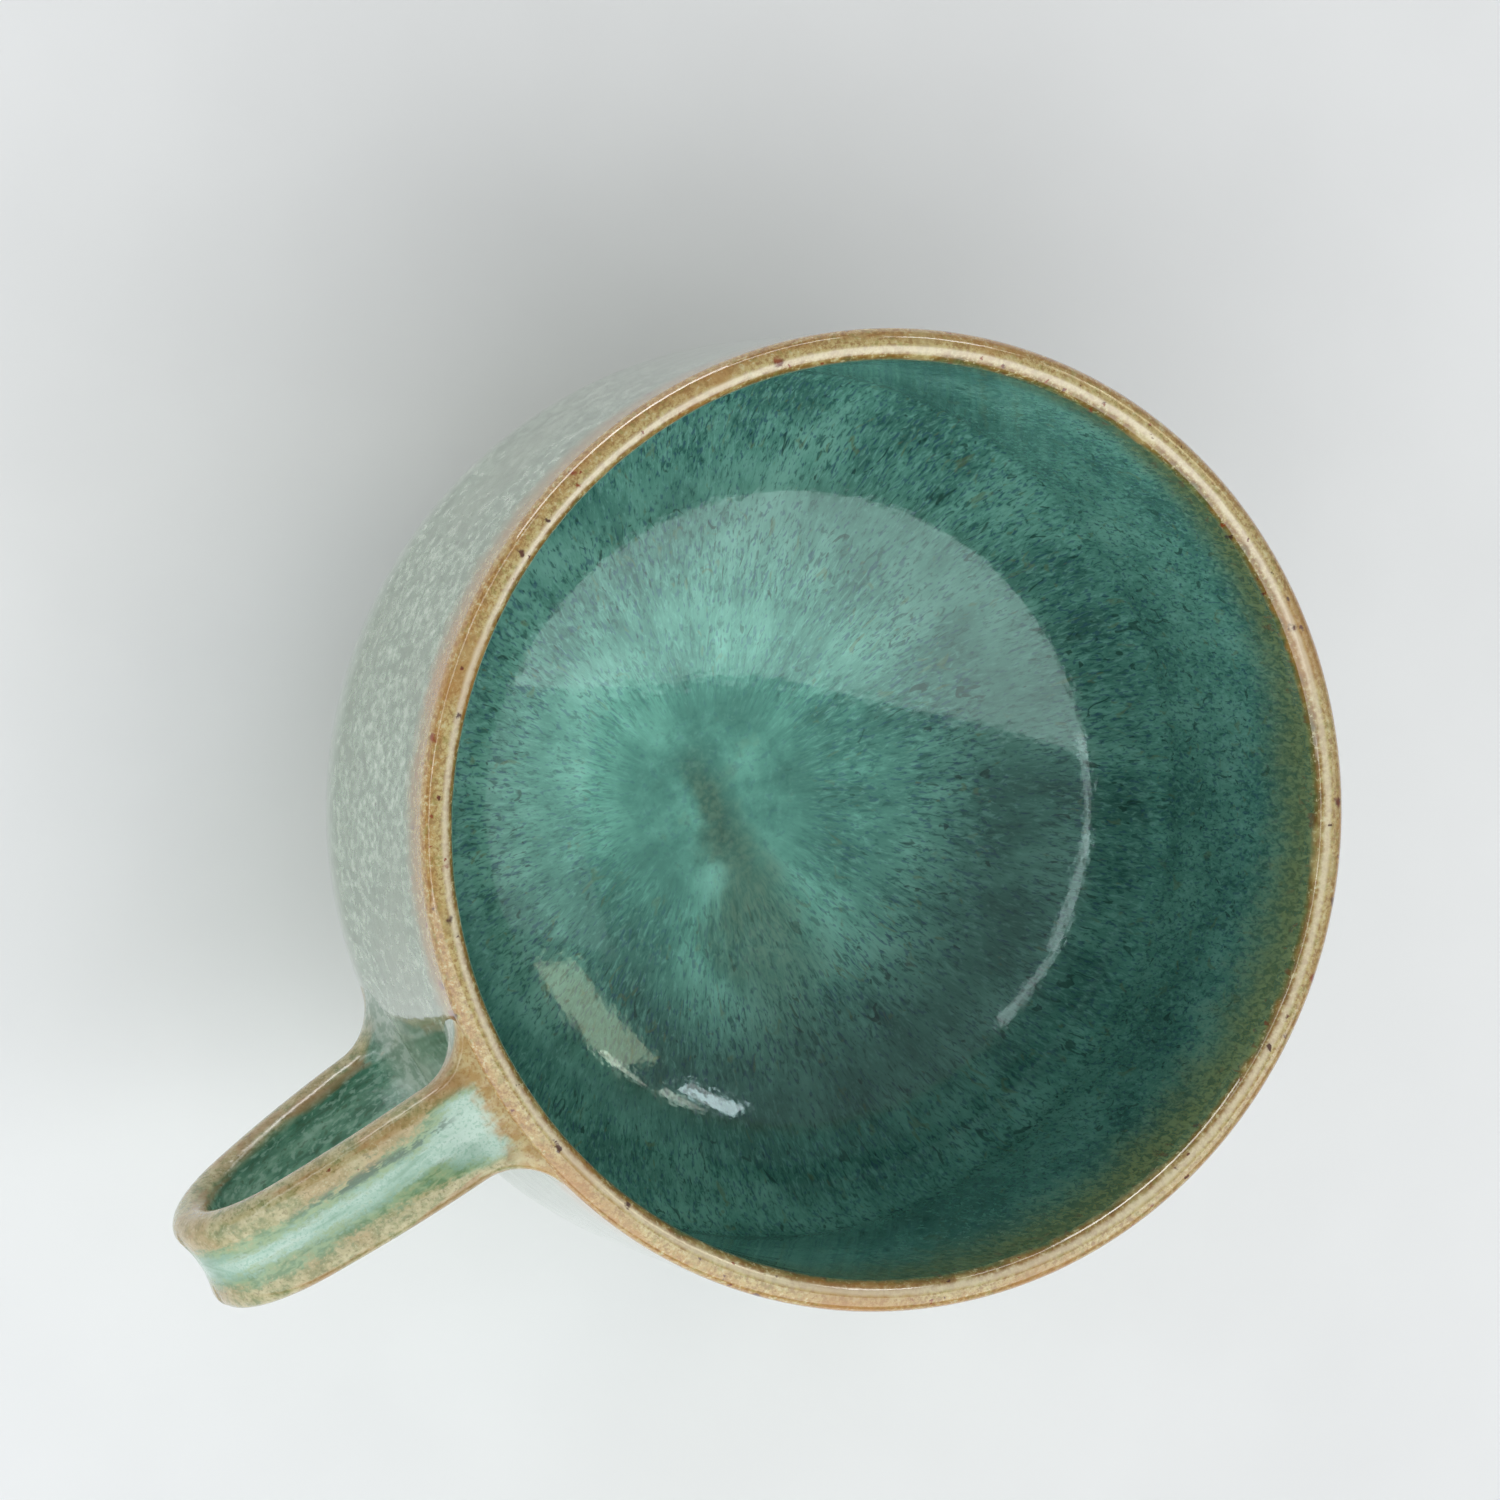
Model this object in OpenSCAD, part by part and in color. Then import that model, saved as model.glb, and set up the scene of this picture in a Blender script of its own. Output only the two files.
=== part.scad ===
// Wheel-thrown stoneware mug: a wide, low cup with a strap handle close under the lip.
// Millimetres. The mug stands upright: +Z runs up through the mouth, +X out through the
// handle, and the origin is the middle of the foot, on the surface that the mug stands on.
// Sizes are taken over the glaze. The clay under it is smaller by one coat on each face.

/* [Cup] */
// Outside diameter of the glazed lip
rim_d = 100; // [92:1:112]
// Height of the mug, from the foot to the top of the lip
mug_h = 66; // [64:1:74]
// Thickness of the wall at the lip
wall_t = 3.3; // [2.8:0.1:4.2]
// Length of the straight wall, from the lip down to the start of the belly
straight_h = 32.5; // [28:0.5:36]
// Depth of the inside, from the lip to the middle of the floor
inner_depth = 56.5; // [52:0.5:57]
// Radius of the curve between the inside wall and the floor
corner_r = 22; // [18:1:26]
// Radius of the dished inside floor
dish_r = 82; // [74:1:120]

/* [Foot] */
// Outside diameter of the foot ring
foot_d = 54; // [48:1:60]
// Width of the foot ring
foot_w = 5; // [4:0.5:7]
// Height of the foot ring, which is also the depth of the hollow inside it
foot_h = 3; // [2:0.5:4]
// Bevel on the two lower edges of the foot ring
foot_bevel = 0.7; // [0.4:0.1:1]

/* [Handle] */
// How far the middle of the strap stands out past the cup wall
handle_reach = 29.3; // [25.3:0.2:33.3]
// Height of the loop, between the middles of its two arms
handle_h = 31.6; // [28:0.2:36]
// Distance from the lip down to the middle of the upper arm
handle_drop = 3.2; // [3:0.1:6]
// Radius of the turn at the outer end of the loop
nose_r = 11.8; // [9.8:0.2:13]
// Width of the strap
strap_w = 11; // [9:0.5:14]
// Thickness of the strap over the ridge along each edge
strap_t = 4.6; // [4:0.1:5.4]
// Width of the raised ridge along each edge of the strap
ridge_w = 2.6; // [2:0.1:3.5]
// Depth of the channel along the outside of the strap
channel_depth = 0.8; // [0.3:0.1:1.2]

/* [Joints and glaze] */
// Thickness of each glaze coat
glaze_t = 0.5; // [0.4:0.05:0.7]
// Thickness of the slip that bonds each end of the strap to the cup
slip_t = 0.4; // [0.2:0.05:0.4]
// Radius of the clay coil that is pressed in round each end of the strap
coil_r = 1.8; // [1.4:0.1:2.2]
// Depth of the tan glaze band below the lip on the outside
band_out = 5; // [3:0.5:8]
// Depth of the tan glaze band below the lip on the inside
band_in = 3; // [2:0.5:5]
// Height above the foot at which the outside glaze stops
glaze_stop = 5; // [4:0.5:8]

/* [Hidden] */
$fn = 96;

rim_r = rim_d / 2;
lip_r = wall_t / 2;
lip_z = mug_h - lip_r;
inner_r = rim_r - wall_t;
floor_z = mug_h - inner_depth;

// Belly: one arc, upright where it meets the straight wall, that comes down to the foot
belly_z = mug_h - straight_h;
foot_r = foot_d / 2;
belly_r = (pow(rim_r - foot_r, 2) + pow(belly_z - foot_h, 2)) / (2 * (rim_r - foot_r));
belly_x = rim_r - belly_r;

// Inside corner: touches the wall and the dished floor
corner_x = inner_r - corner_r;
dish_z = floor_z + dish_r;
corner_z = dish_z - sqrt(pow(dish_r - corner_r, 2) - pow(corner_x, 2));

// Handle loop: a turn at the outer end and a flatter arc for each arm, all tangent
arm_half = handle_h / 2;
loop_z = mug_h - handle_drop - arm_half;
loop_x = rim_r - 2.5;
loop_len = handle_reach + rim_r - loop_x;
nose_x = loop_x + loop_len - nose_r;
arm_r = (pow(loop_len - nose_r, 2) + pow(arm_half, 2) - pow(nose_r, 2))
        / (2 * (arm_half - nose_r));
arm_angle = atan2(arm_r - arm_half, loop_len - nose_r);
// The arms run on into the wall by this much, and are then cut to it
arm_extra = 3;

ridge_r = strap_t / 2;
ridge_y = strap_w / 2 - ridge_r;
channel_w = strap_w - 2 * ridge_w;
// Distance from the middle of the strap to the middle of the coil round it
coil_gap = ridge_r - 0.15;
coil_x = rim_r - 0.3;
// How far the two ends of the upper coil rise beside the strap
coil_rise = min(1.5, handle_drop - lip_r);

clay = [0.74, 0.64, 0.50];
slip = [0.80, 0.74, 0.63];
celadon = [0.64, 0.75, 0.68];
teal = [0.24, 0.47, 0.42];
honey = [0.74, 0.61, 0.40];
mint = [0.58, 0.72, 0.62];

// --- Half sections of the cup, radius along X and height along Y ---

// Everything inside the outside surface, drawn in by skin
module outer_fill(skin) {
    translate([0, belly_z])
        square([rim_r - skin, lip_z - belly_z]);
    square_to_lip(rim_r - lip_r, skin);
    translate([rim_r - lip_r, lip_z])
        circle(lip_r - skin);
    translate([0, foot_h])
        square([belly_x, belly_z - foot_h]);
    intersection() {
        translate([belly_x, belly_z])
            circle(belly_r - skin, $fn = 180);
        translate([belly_x, foot_h])
            square([belly_r, belly_z - foot_h]);
    }
}

module square_to_lip(r, skin) {
    translate([0, belly_z])
        square([r, mug_h - skin - belly_z]);
}

// Everything inside the inside surface, let out by skin
module inner_fill(skin) {
    translate([0, corner_z])
        square([inner_r + skin, lip_z - corner_z]);
    translate([corner_x, corner_z])
        circle(corner_r + skin, $fn = 180);
    intersection() {
        translate([0, dish_z])
            circle(dish_r + skin, $fn = 360);
        floor_wedge();
    }
    difference() {
        translate([0, lip_z])
            square([rim_r - lip_r, wall_t]);
        translate([rim_r - lip_r, lip_z])
            circle(lip_r - skin);
    }
}

// The part of the floor between the axis and the start of the corner curve
module floor_wedge() {
    run = dish_z + 5;
    polygon([[0, dish_z], [0, dish_z - run], [corner_x / (dish_z - corner_z) * run, dish_z - run]]);
}

module foot_section() {
    inside = foot_r - foot_w;
    polygon([
        [inside + foot_bevel, 0],
        [foot_r - foot_bevel, 0],
        [foot_r, foot_bevel],
        [foot_r, foot_h + 2],
        [inside, foot_h + 2],
        [inside, foot_bevel]
    ]);
}

module glazed_section() {
    difference() {
        outer_fill(0);
        inner_fill(0);
    }
}

module clay_section() {
    difference() {
        union() {
            outer_fill(glaze_t);
            foot_section();
        }
        inner_fill(glaze_t);
    }
}

// --- Handle strap: the side view of the loop, drawn in the XZ plane and given its width ---

// The loop's side view filled in, with its edge moved out by grow
module loop_fill(grow) {
    join_x = nose_x + (nose_r + grow) * cos(arm_angle);
    drop = arm_r - arm_half;
    intersection() {
        translate([loop_x, loop_z - drop])
            circle(arm_r + grow, $fn = 360);
        translate([loop_x, loop_z + drop])
            circle(arm_r + grow, $fn = 360);
        translate([loop_x - arm_extra, loop_z - handle_h])
            square([join_x - loop_x + arm_extra, 2 * handle_h]);
    }
    intersection() {
        translate([nose_x, loop_z])
            circle(nose_r + grow, $fn = 180);
        translate([join_x, loop_z - handle_h])
            square([2 * nose_r, 2 * handle_h]);
    }
}

// A band of the loop between two distances from the middle of the strap
module loop_band(inside, outside) {
    difference() {
        loop_fill(outside);
        loop_fill(inside);
    }
}

// Stands a side view upright, width wide and middle away from the XZ plane
module upright(width, middle) {
    translate([0, middle + width / 2, 0])
        rotate([90, 0, 0])
            linear_extrude(width)
                children();
}

module strap(skin) {
    half = strap_t / 2 - skin;
    difference() {
        upright(strap_w - 2 * skin, 0)
            loop_band(-half, half);
        upright(channel_w, 0)
            loop_band(half - channel_depth, half + 1);
    }
}

// --- Coil of clay round an end of the strap, on the cup wall ---

// Quarter bend of the coil: side is the edge of the strap, and below is -1 under it
module coil_bend(side, below, skin) {
    translate([0, side * ridge_y, 0])
        rotate([90, 0, 90])
            rotate([0, 0, side > 0 ? (below < 0 ? -90 : 0) : (below < 0 ? 180 : 90)])
                rotate_extrude(angle = 90, $fn = 64)
                    translate([coil_gap, 0])
                        circle(coil_r - skin, $fn = 48);
}

module coil_run(below, skin) {
    translate([0, -ridge_y, below * coil_gap])
        rotate([-90, 0, 0])
            cylinder(h = 2 * ridge_y, r = coil_r - skin, $fn = 48);
}

// The upper coil has no run over the strap, where the lip leaves no room for one
module upper_coil_shape(skin) {
    translate([coil_x, 0, loop_z + arm_half]) {
        coil_run(-1, skin);
        for (side = [-1, 1]) {
            coil_bend(side, -1, skin);
            translate([0, side * (ridge_y + coil_gap), 0])
                cylinder(h = coil_rise - skin, r = coil_r - skin, $fn = 48);
        }
    }
}

module lower_coil_shape(skin) {
    translate([coil_x, 0, loop_z - arm_half]) {
        for (below = [-1, 1]) {
            coil_run(below, skin);
            for (side = [-1, 1])
                coil_bend(side, below, skin);
        }
    }
}

// The straight wall taken as solid, drawn in by skin, to end the handle's pieces on
module core(skin) {
    cylinder(h = mug_h, r = rim_r - skin, $fn = 180);
}

// All the clay that stands out of the cup wall
module joined_clay() {
    strap(glaze_t);
    upper_coil_shape(glaze_t);
    lower_coil_shape(glaze_t);
}

module slip_pad(upper) {
    intersection() {
        difference() {
            strap(glaze_t);
            core(glaze_t);
        }
        core(glaze_t - slip_t);
        translate([loop_x, -strap_w, loop_z - (upper ? 0 : handle_h)])
            cube([arm_half, 2 * strap_w, handle_h]);
    }
}

// A glaze coat on the cup, cut away where the handle's clay joins it
module cup_glaze() {
    difference() {
        rotate_extrude($fn = 180)
            children();
        joined_clay();
    }
}

// --- The pieces ---

// Thrown and turned clay cup
module body() {
    color(clay)
        rotate_extrude($fn = 180)
            clay_section();
}

// Pulled clay strap
module handle() {
    color(clay)
        difference() {
            strap(glaze_t);
            core(glaze_t - slip_t);
        }
}

module upper_slip() {
    color(slip)
        slip_pad(true);
}

module lower_slip() {
    color(slip)
        slip_pad(false);
}

module upper_coil() {
    color(clay)
        difference() {
            upper_coil_shape(glaze_t);
            strap(glaze_t);
            core(glaze_t);
        }
}

module lower_coil() {
    color(clay)
        difference() {
            lower_coil_shape(glaze_t);
            strap(glaze_t);
            core(glaze_t);
        }
}

// Pale celadon coat on the outside, between the lip band and the foot
module outer_glaze() {
    color(celadon)
        cup_glaze()
            intersection() {
                difference() {
                    outer_fill(0);
                    outer_fill(glaze_t);
                }
                translate([belly_x, glaze_stop])
                    square([belly_r + 1, mug_h - band_out - glaze_stop]);
            }
}

// Teal coat inside the cup
module liner_glaze() {
    color(teal)
        rotate_extrude($fn = 180)
            difference() {
                inner_fill(glaze_t);
                inner_fill(0);
                translate([0, mug_h - band_in])
                    square([rim_r, 2 * band_in]);
            }
}

// Tan coat where the glaze runs thin over the lip
module rim_glaze() {
    color(honey)
        cup_glaze()
            intersection() {
                difference() {
                    glazed_section();
                    clay_section();
                }
                rim_window();
            }
}

module rim_window() {
    translate([rim_r - lip_r, mug_h - band_out])
        square([wall_t, 2 * band_out]);
    translate([inner_r - 1, mug_h - band_in])
        square([1 + lip_r, 2 * band_in]);
}

// Coat over the strap and the coils
module handle_glaze() {
    color(mint)
        difference() {
            union() {
                strap(0);
                upper_coil_shape(0);
                lower_coil_shape(0);
            }
            joined_clay();
            core(0);
        }
}

body();
handle();
upper_slip();
lower_slip();
upper_coil();
lower_coil();
outer_glaze();
liner_glaze();
rim_glaze();
handle_glaze();
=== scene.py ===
"""The ceramic mug's looks: glaze coats with their own colour and flow, a painted highlight on the lip and
painted shade inside, bare clay, light and camera.

Metres, in the CAD model's frame: +Z up through the mouth, +X out through the handle. Only the fields that
the handle is made from are in millimetres, and their meshes are scaled when they are made.
"""

import math

import bpy
import numpy as np
from mathutils import Euler, Matrix, Vector


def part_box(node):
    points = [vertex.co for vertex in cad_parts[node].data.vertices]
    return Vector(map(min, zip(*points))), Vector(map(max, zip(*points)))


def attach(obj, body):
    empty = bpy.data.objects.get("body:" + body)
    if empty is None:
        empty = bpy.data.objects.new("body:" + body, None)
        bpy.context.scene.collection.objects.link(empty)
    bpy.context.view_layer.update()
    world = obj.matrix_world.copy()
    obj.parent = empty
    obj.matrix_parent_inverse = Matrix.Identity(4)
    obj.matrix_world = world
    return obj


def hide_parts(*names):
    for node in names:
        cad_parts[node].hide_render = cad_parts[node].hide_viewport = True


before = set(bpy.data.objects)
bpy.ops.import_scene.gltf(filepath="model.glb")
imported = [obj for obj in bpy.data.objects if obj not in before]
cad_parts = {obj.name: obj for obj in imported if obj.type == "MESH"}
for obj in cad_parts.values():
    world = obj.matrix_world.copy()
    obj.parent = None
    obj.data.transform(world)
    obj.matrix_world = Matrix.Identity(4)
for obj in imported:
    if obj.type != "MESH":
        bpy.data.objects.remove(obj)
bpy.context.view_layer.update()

MM = 0.001

# --- Cup sizes, from the boxes of the CAD nodes ---
outer_low, outer_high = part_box("outer_glaze")
liner_low, liner_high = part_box("liner_glaze")

RIM_R = -outer_low.x
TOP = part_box("rim_glaze")[1].z
COAT = RIM_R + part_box("body")[0].x
GLAZE_STOP = outer_low.z
OUT_SEAM = outer_high.z
IN_SEAM = liner_high.z
INNER_R = liner_high.x - COAT
FLOOR_Z = liner_low.z + COAT
LIP_R = (RIM_R - INNER_R) / 2
LIP_Z = TOP - LIP_R
LIP_MID = RIM_R - LIP_R

# The length of the straight wall and the foot ring, as in the CAD model
STRAIGHT_H = 32.5 * MM
FOOT_R = 27 * MM
FOOT_W = 5 * MM
FOOT_H = 3 * MM
FOOT_EDGE = 0.7 * MM
FOOT_CORNER = 1.2 * MM
BELLY_Z = TOP - STRAIGHT_H
BELLY_R = ((RIM_R - FOOT_R) ** 2 + (BELLY_Z - FOOT_H) ** 2) / (2 * (RIM_R - FOOT_R))
BELLY_X = RIM_R - BELLY_R

# The inside is upright down to ROLL_TOP, then rolls into the floor along a curve with these two powers
ROLL_TOP = TOP - 0.728 * RIM_R
ROLL_DOWN = 1.478
ROLL_IN = 2.794
ROLL_POINTS = 220

# How finely the meshes are drawn
SEGMENTS = 360
SKIN_STEP = 0.75 * MM
LIP_STEP = 0.12 * MM


# --- Cup profiles: lines of (radius, height) ---
def arc(cx, cz, r, a0, a1, step):
    """Points on an arc, angles in degrees from the +radius direction."""
    n = max(2, int(abs(math.radians(a1 - a0)) * r / step))
    angles = [math.radians(a0 + (a1 - a0) * i / n) for i in range(n + 1)]
    return [(cx + r * math.cos(a), cz + r * math.sin(a)) for a in angles]


def line(p, q, step):
    n = max(1, int(math.dist(p, q) / step))
    return [(p[0] + (q[0] - p[0]) * i / n, p[1] + (q[1] - p[1]) * i / n) for i in range(n + 1)]


def lengths(p):
    """The distance along the line up to each of its points."""
    return np.concatenate([[0], np.cumsum(np.hypot(*np.diff(p, axis=0).T))])


def resample(pts, step):
    """The same line with its points evenly spaced, about a step apart."""
    p = np.array(pts)
    s = lengths(p)
    n = max(2, int(round(s[-1] / step)))
    t = np.linspace(0, s[-1], n + 1)
    return list(zip(np.interp(t, s, p[:, 0]), np.interp(t, s, p[:, 1])))


def offset(p, by):
    """The line moved to its left by this much."""
    d = np.gradient(p, axis=0)
    d /= np.linalg.norm(d, axis=1)[:, None]
    q = p + by * np.stack([-d[:, 1], d[:, 0]], 1)
    q[:, 0] = np.maximum(q[:, 0], 0)
    return q


def inner_curve(step):
    """The inside, from the lip's inner edge down to the middle of the floor."""
    pts = line((INNER_R, LIP_Z), (INNER_R, ROLL_TOP), step)
    for i in range(1, ROLL_POINTS + 1):
        # t runs from the start of the curve to the floor, with more points where it turns fastest
        t = math.sin(i / ROLL_POINTS * math.pi / 2) ** 1.3
        r = INNER_R * max(0.0, 1 - t**ROLL_DOWN) ** (1 / ROLL_IN)
        pts.append((r, ROLL_TOP - t * (ROLL_TOP - FLOOR_Z)))
    pts[-1] = (0.0, FLOOR_Z)
    return resample(pts, step)


def skin_line():
    """The glazed surface, from its lower end up the belly, over the lip and down to the floor's middle.

    Returns the points and their distance along the line from the lip's crest, positive outside.
    """
    start = -math.degrees(math.asin((BELLY_Z - GLAZE_STOP) / BELLY_R))
    outside = arc(BELLY_X, BELLY_Z, BELLY_R, start, 0, SKIN_STEP)
    outside += line((RIM_R, BELLY_Z), (RIM_R, LIP_Z), SKIN_STEP)[1:]
    over = arc(LIP_MID, LIP_Z, LIP_R, 0, 180, LIP_STEP)
    p = np.array(outside + over[1:] + inner_curve(SKIN_STEP)[1:])
    s = lengths(p)
    middle = len(outside) - 1 + (len(over) - 1) / 2
    return p, np.interp(middle, range(len(s)), s) - s


def clay_line():
    """The clay's outline: the hollow of the foot, the foot ring, and the surface under the coats."""
    hollow_r = FOOT_R - FOOT_W
    b, c = FOOT_EDGE, FOOT_CORNER
    pts = line((0, FOOT_H), (hollow_r - c, FOOT_H), 0.6 * MM)
    pts += arc(hollow_r - c, FOOT_H - c, c, 90, 0, 0.15 * MM)[1:]
    pts += line(pts[-1], (hollow_r, b), 0.3 * MM)[1:]
    pts += arc(hollow_r + b, b, b, 180, 270, 0.1 * MM)[1:]
    pts += line((hollow_r + b, 0), (FOOT_R - b, 0), 0.4 * MM)[1:]
    pts += arc(FOOT_R - b, b, b, -90, 0, 0.1 * MM)[1:]
    pts += line((FOOT_R, b), (FOOT_R, FOOT_H - 0.2 * MM), 0.3 * MM)[1:]
    # From the top of the foot ring, a small hollow leads to the belly
    pts += [(FOOT_R + 0.25 * MM, FOOT_H + 0.35 * MM), (FOOT_R + 1.0 * MM, FOOT_H + 0.85 * MM)]
    # The surface under the coats is hidden, so that every second point is enough
    return pts + [tuple(p) for p in under[:-1:2]] + [tuple(under[-1])]


# --- Cup meshes ---
def wobble(r, z, theta):
    """Throwing marks and the slight unevenness of a hand-made rim, added to the drawn surface."""
    high = np.clip((z - 0.4 * TOP) / (0.6 * TOP), 0, 1)
    oval = 1 + 0.0022 * high * np.cos(2 * theta + 0.7) + 0.0012 * high * np.cos(3 * theta + 2.0)
    spiral = np.sin(z / (0.95 * MM) + theta) * 0.5 + np.sin(z / (0.61 * MM) + 2.1) * 0.25
    wall = np.clip((r - 0.55 * RIM_R) / (0.3 * RIM_R), 0, 1)
    rings = 0.012 * MM * spiral * wall
    up = high**3 * MM * (0.10 * np.cos(theta * 2 + 1.1) + 0.05 * np.cos(5 * theta + 0.4))
    return r * oval + rings, z + up


def mesh_piece(name, verts, faces, attributes, sharp=50):
    """A smoothly shaded object with this mesh. attributes holds a number for each point under each name."""
    me = bpy.data.meshes.new(name)
    me.from_pydata([tuple(map(float, v)) for v in verts], [], faces)
    for key, vals in attributes.items():
        me.attributes.new(key, "FLOAT", "POINT").data.foreach_set("value", np.array(vals, np.float32))
    me.polygons.foreach_set("use_smooth", [True] * len(me.polygons))
    me.set_sharp_from_angle(angle=math.radians(sharp))
    ob = bpy.data.objects.new(name, me)
    bpy.context.scene.collection.objects.link(ob)
    return ob


def revolve(name, profile, lip, closed=True):
    """Turns a line of (radius, height) into a mesh, which keeps each point's distance from the lip."""
    theta = np.arange(SEGMENTS) * 2 * math.pi / SEGMENTS
    verts, rings, values = [], [], []
    for (r, z), d in zip(profile, lip):
        if r < 1e-6:
            rings.append([len(verts)] * SEGMENTS)
            verts.append((0, 0, z))
            values.append(d)
            continue
        rr, zz = wobble(r, z, theta)
        rings.append(list(range(len(verts), len(verts) + SEGMENTS)))
        verts += list(zip(rr * np.cos(theta), rr * np.sin(theta), zz))
        values += [d] * SEGMENTS
    faces = []
    for a, b in zip(rings, rings[1:] + rings[:1] if closed else rings[1:]):
        for i in range(SEGMENTS):
            j = (i + 1) % SEGMENTS
            corners = list(dict.fromkeys([a[i], a[j], b[j], b[i]]))
            if len(corners) > 2:
                faces.append(corners)
    return mesh_piece(name, verts, faces, {"lip": values})


skin, lip_at = skin_line()
under = offset(skin, COAT)  # the clay's surface below the coat: left of the line is into the clay


def cup_coat(name, first, last, tail=()):
    """The coat between two points of the glazed line, closed by the clay side's points and this tail."""
    kept = slice(first, last + 1)
    profile = np.concatenate([skin[kept], under[kept][::-1], np.reshape(tail, (-1, 2))])
    lips = np.concatenate([lip_at[kept], lip_at[kept][::-1], [lip_at[first]] * len(tail)])
    return revolve(name, profile, lips)


crest = int(np.argmin(np.abs(lip_at)))
seam_out = int(np.argmin(np.abs(skin[:crest, 1] - OUT_SEAM)))
seam_in = crest + int(np.argmin(np.abs(skin[crest:, 1] - IN_SEAM)))
# The coat's lower edge is a rounded bead, where the glaze was wiped back
bead = skin[0] - np.array([(0.25, 0.28), (0.05, 0.22)]) * MM

outer_coat = cup_coat("outer_coat", 0, seam_out, bead)
rim_coat = cup_coat("rim_coat", seam_out, seam_in)
liner_coat = cup_coat("liner_coat", seam_in, len(skin) - 1)
clay_pts = clay_line()
cup_clay = revolve("cup_clay", clay_pts, [1.0] * len(clay_pts), closed=False)


# --- Handle, in millimetres: one surface that the strap and the hollows at its ends share ---
STRAP_W = 5.5  # half of the strap's width
STRAP_T = 2.3  # half of its thickness
EDGE_R = 2.15
GROOVE = 0.50
LOOP_HALF = 15.8  # half of the loop's height, between the middles of its arms
LOOP_DROP = 3.2  # from the lip down to the middle of the upper arm
LOOP_IN = 2.5  # how far inside the cup's wall the arms start
ARM_R = 63.8
NOSE_R = 11.8
FLARE = 5.2  # how widely the strap spreads where it meets the wall
CAP = 0.9  # how softly the spread is cut off level with the strap's top
ROOT_CUT = 0.9  # how far the coat reaches into the wall

strap_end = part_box("handle_glaze")[1].x / MM
NOSE_X = strap_end - STRAP_T - NOSE_R
LOOP_X = RIM_R / MM - LOOP_IN
LOOP_Z = TOP / MM - LOOP_DROP - LOOP_HALF
GRID_LOW = (RIM_R / MM - 4.0, -14.5, LOOP_Z - 26)
GRID_HIGH = (strap_end + 1.5, 14.5, TOP / MM + 1.0)


def loop_distance(x, z):
    """Distance out from the strap's middle line in side view, and distance along it from the upper root."""
    h = np.abs(z - LOOP_Z)
    drop = ARM_R - LOOP_HALF
    ax, az = x - LOOP_X, h + drop
    to_nose = (NOSE_X - LOOP_X, drop)
    on_nose = ax * to_nose[1] - az * to_nose[0] > 0
    arm = np.hypot(ax, az) - ARM_R
    nose = np.hypot(x - NOSE_X, h) - NOSE_R
    turn = math.atan2(to_nose[0], to_nose[1])
    s_arm = ARM_R * np.arctan2(ax, az)
    s_nose = ARM_R * turn + NOSE_R * (np.pi / 2 - np.arctan2(h, np.maximum(x - NOSE_X, 1e-6)) - turn)
    half = ARM_R * turn + NOSE_R * (np.pi / 2 - turn)
    s = np.where(on_nose, s_nose, s_arm)
    s = np.where(z < LOOP_Z, 2 * half - s, s)
    return np.where(on_nose, nose, arm), s


def cup_distance(r, z):
    """Distance out from the cup's glazed outside and lip."""
    belly = np.hypot(r - BELLY_X / MM, z - BELLY_Z / MM) - BELLY_R / MM
    wall = np.where(z > BELLY_Z / MM, r - RIM_R / MM, belly)
    lip = np.hypot(r - LIP_MID / MM, z - LIP_Z / MM) - LIP_R / MM
    lip = np.where(r < LIP_MID / MM, z - TOP / MM, lip)
    return np.where(z > LIP_Z / MM, lip, wall)


def smooth_step(a, b, x):
    t = np.clip((x - a) / (b - a), 0, 1)
    return t * t * (3 - 2 * t)


def strap_distance(p):
    """Distance out from the strap, a rounded bar along the loop with a channel down its outside."""
    x, y, z = p.T
    n, s = loop_distance(x, z)
    ay = np.abs(y)
    wide = STRAP_W * (1 + 0.02 * np.sin(s * 0.11 + 1.0))
    groove = GROOVE * (1 - smooth_step(0.6, 4.2, ay))
    groove = groove + 0.06 * np.sin(s * 0.35) * (1 - smooth_step(2.0, 4.5, ay))
    nn = np.where(n > 0, n + groove * smooth_step(0.0, 1.2, n), n)
    q0, q1 = np.abs(nn) - (STRAP_T - EDGE_R), ay - (wide - EDGE_R)
    return np.hypot(np.maximum(q0, 0), np.maximum(q1, 0)) + np.minimum(np.maximum(q0, q1), 0) - EDGE_R


def joined_field(p):
    """The distances of the strap, of the cup, and of both joined by a hollow curve of radius FLARE."""
    x, y, z = p.T
    a = strap_distance(p)
    b = cup_distance(np.hypot(x, y), z)
    hollow = np.hypot(np.maximum(FLARE - a, 0), np.maximum(FLARE - b, 0))
    joined = np.maximum(FLARE, np.minimum(a, b)) - hollow
    n, _ = loop_distance(x, z)
    ceiling = np.where(z > LOOP_Z, n - (STRAP_T + 0.05), -9.0)
    h = np.maximum(CAP - np.abs(joined - ceiling), 0) / CAP
    return a, b, np.maximum(joined, ceiling) + h * h * CAP / 4


def handle_field(p):
    """The joined surface, cut off a little inside the wall and where it is only the cup's own."""
    a, b, d = joined_field(p)
    return np.maximum(np.maximum(d, -(b + ROOT_CUT)), a - 0.97 * FLARE)


def clay_field(p):
    """The clay strap: the coat's surface moved in by its thickness, cut off where it meets the slip."""
    wall = cup_distance(np.hypot(p[:, 0], p[:, 1]), p[:, 2])
    return np.maximum(strap_distance(p) + COAT / MM, 0.3 - wall)


def gradient(f, p, h=0.02):
    g = np.zeros_like(p)
    for i in range(3):
        e = np.zeros(3)
        e[i] = h
        g[:, i] = (f(p + e) - f(p - e)) / (2 * h)
    return g


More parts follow.
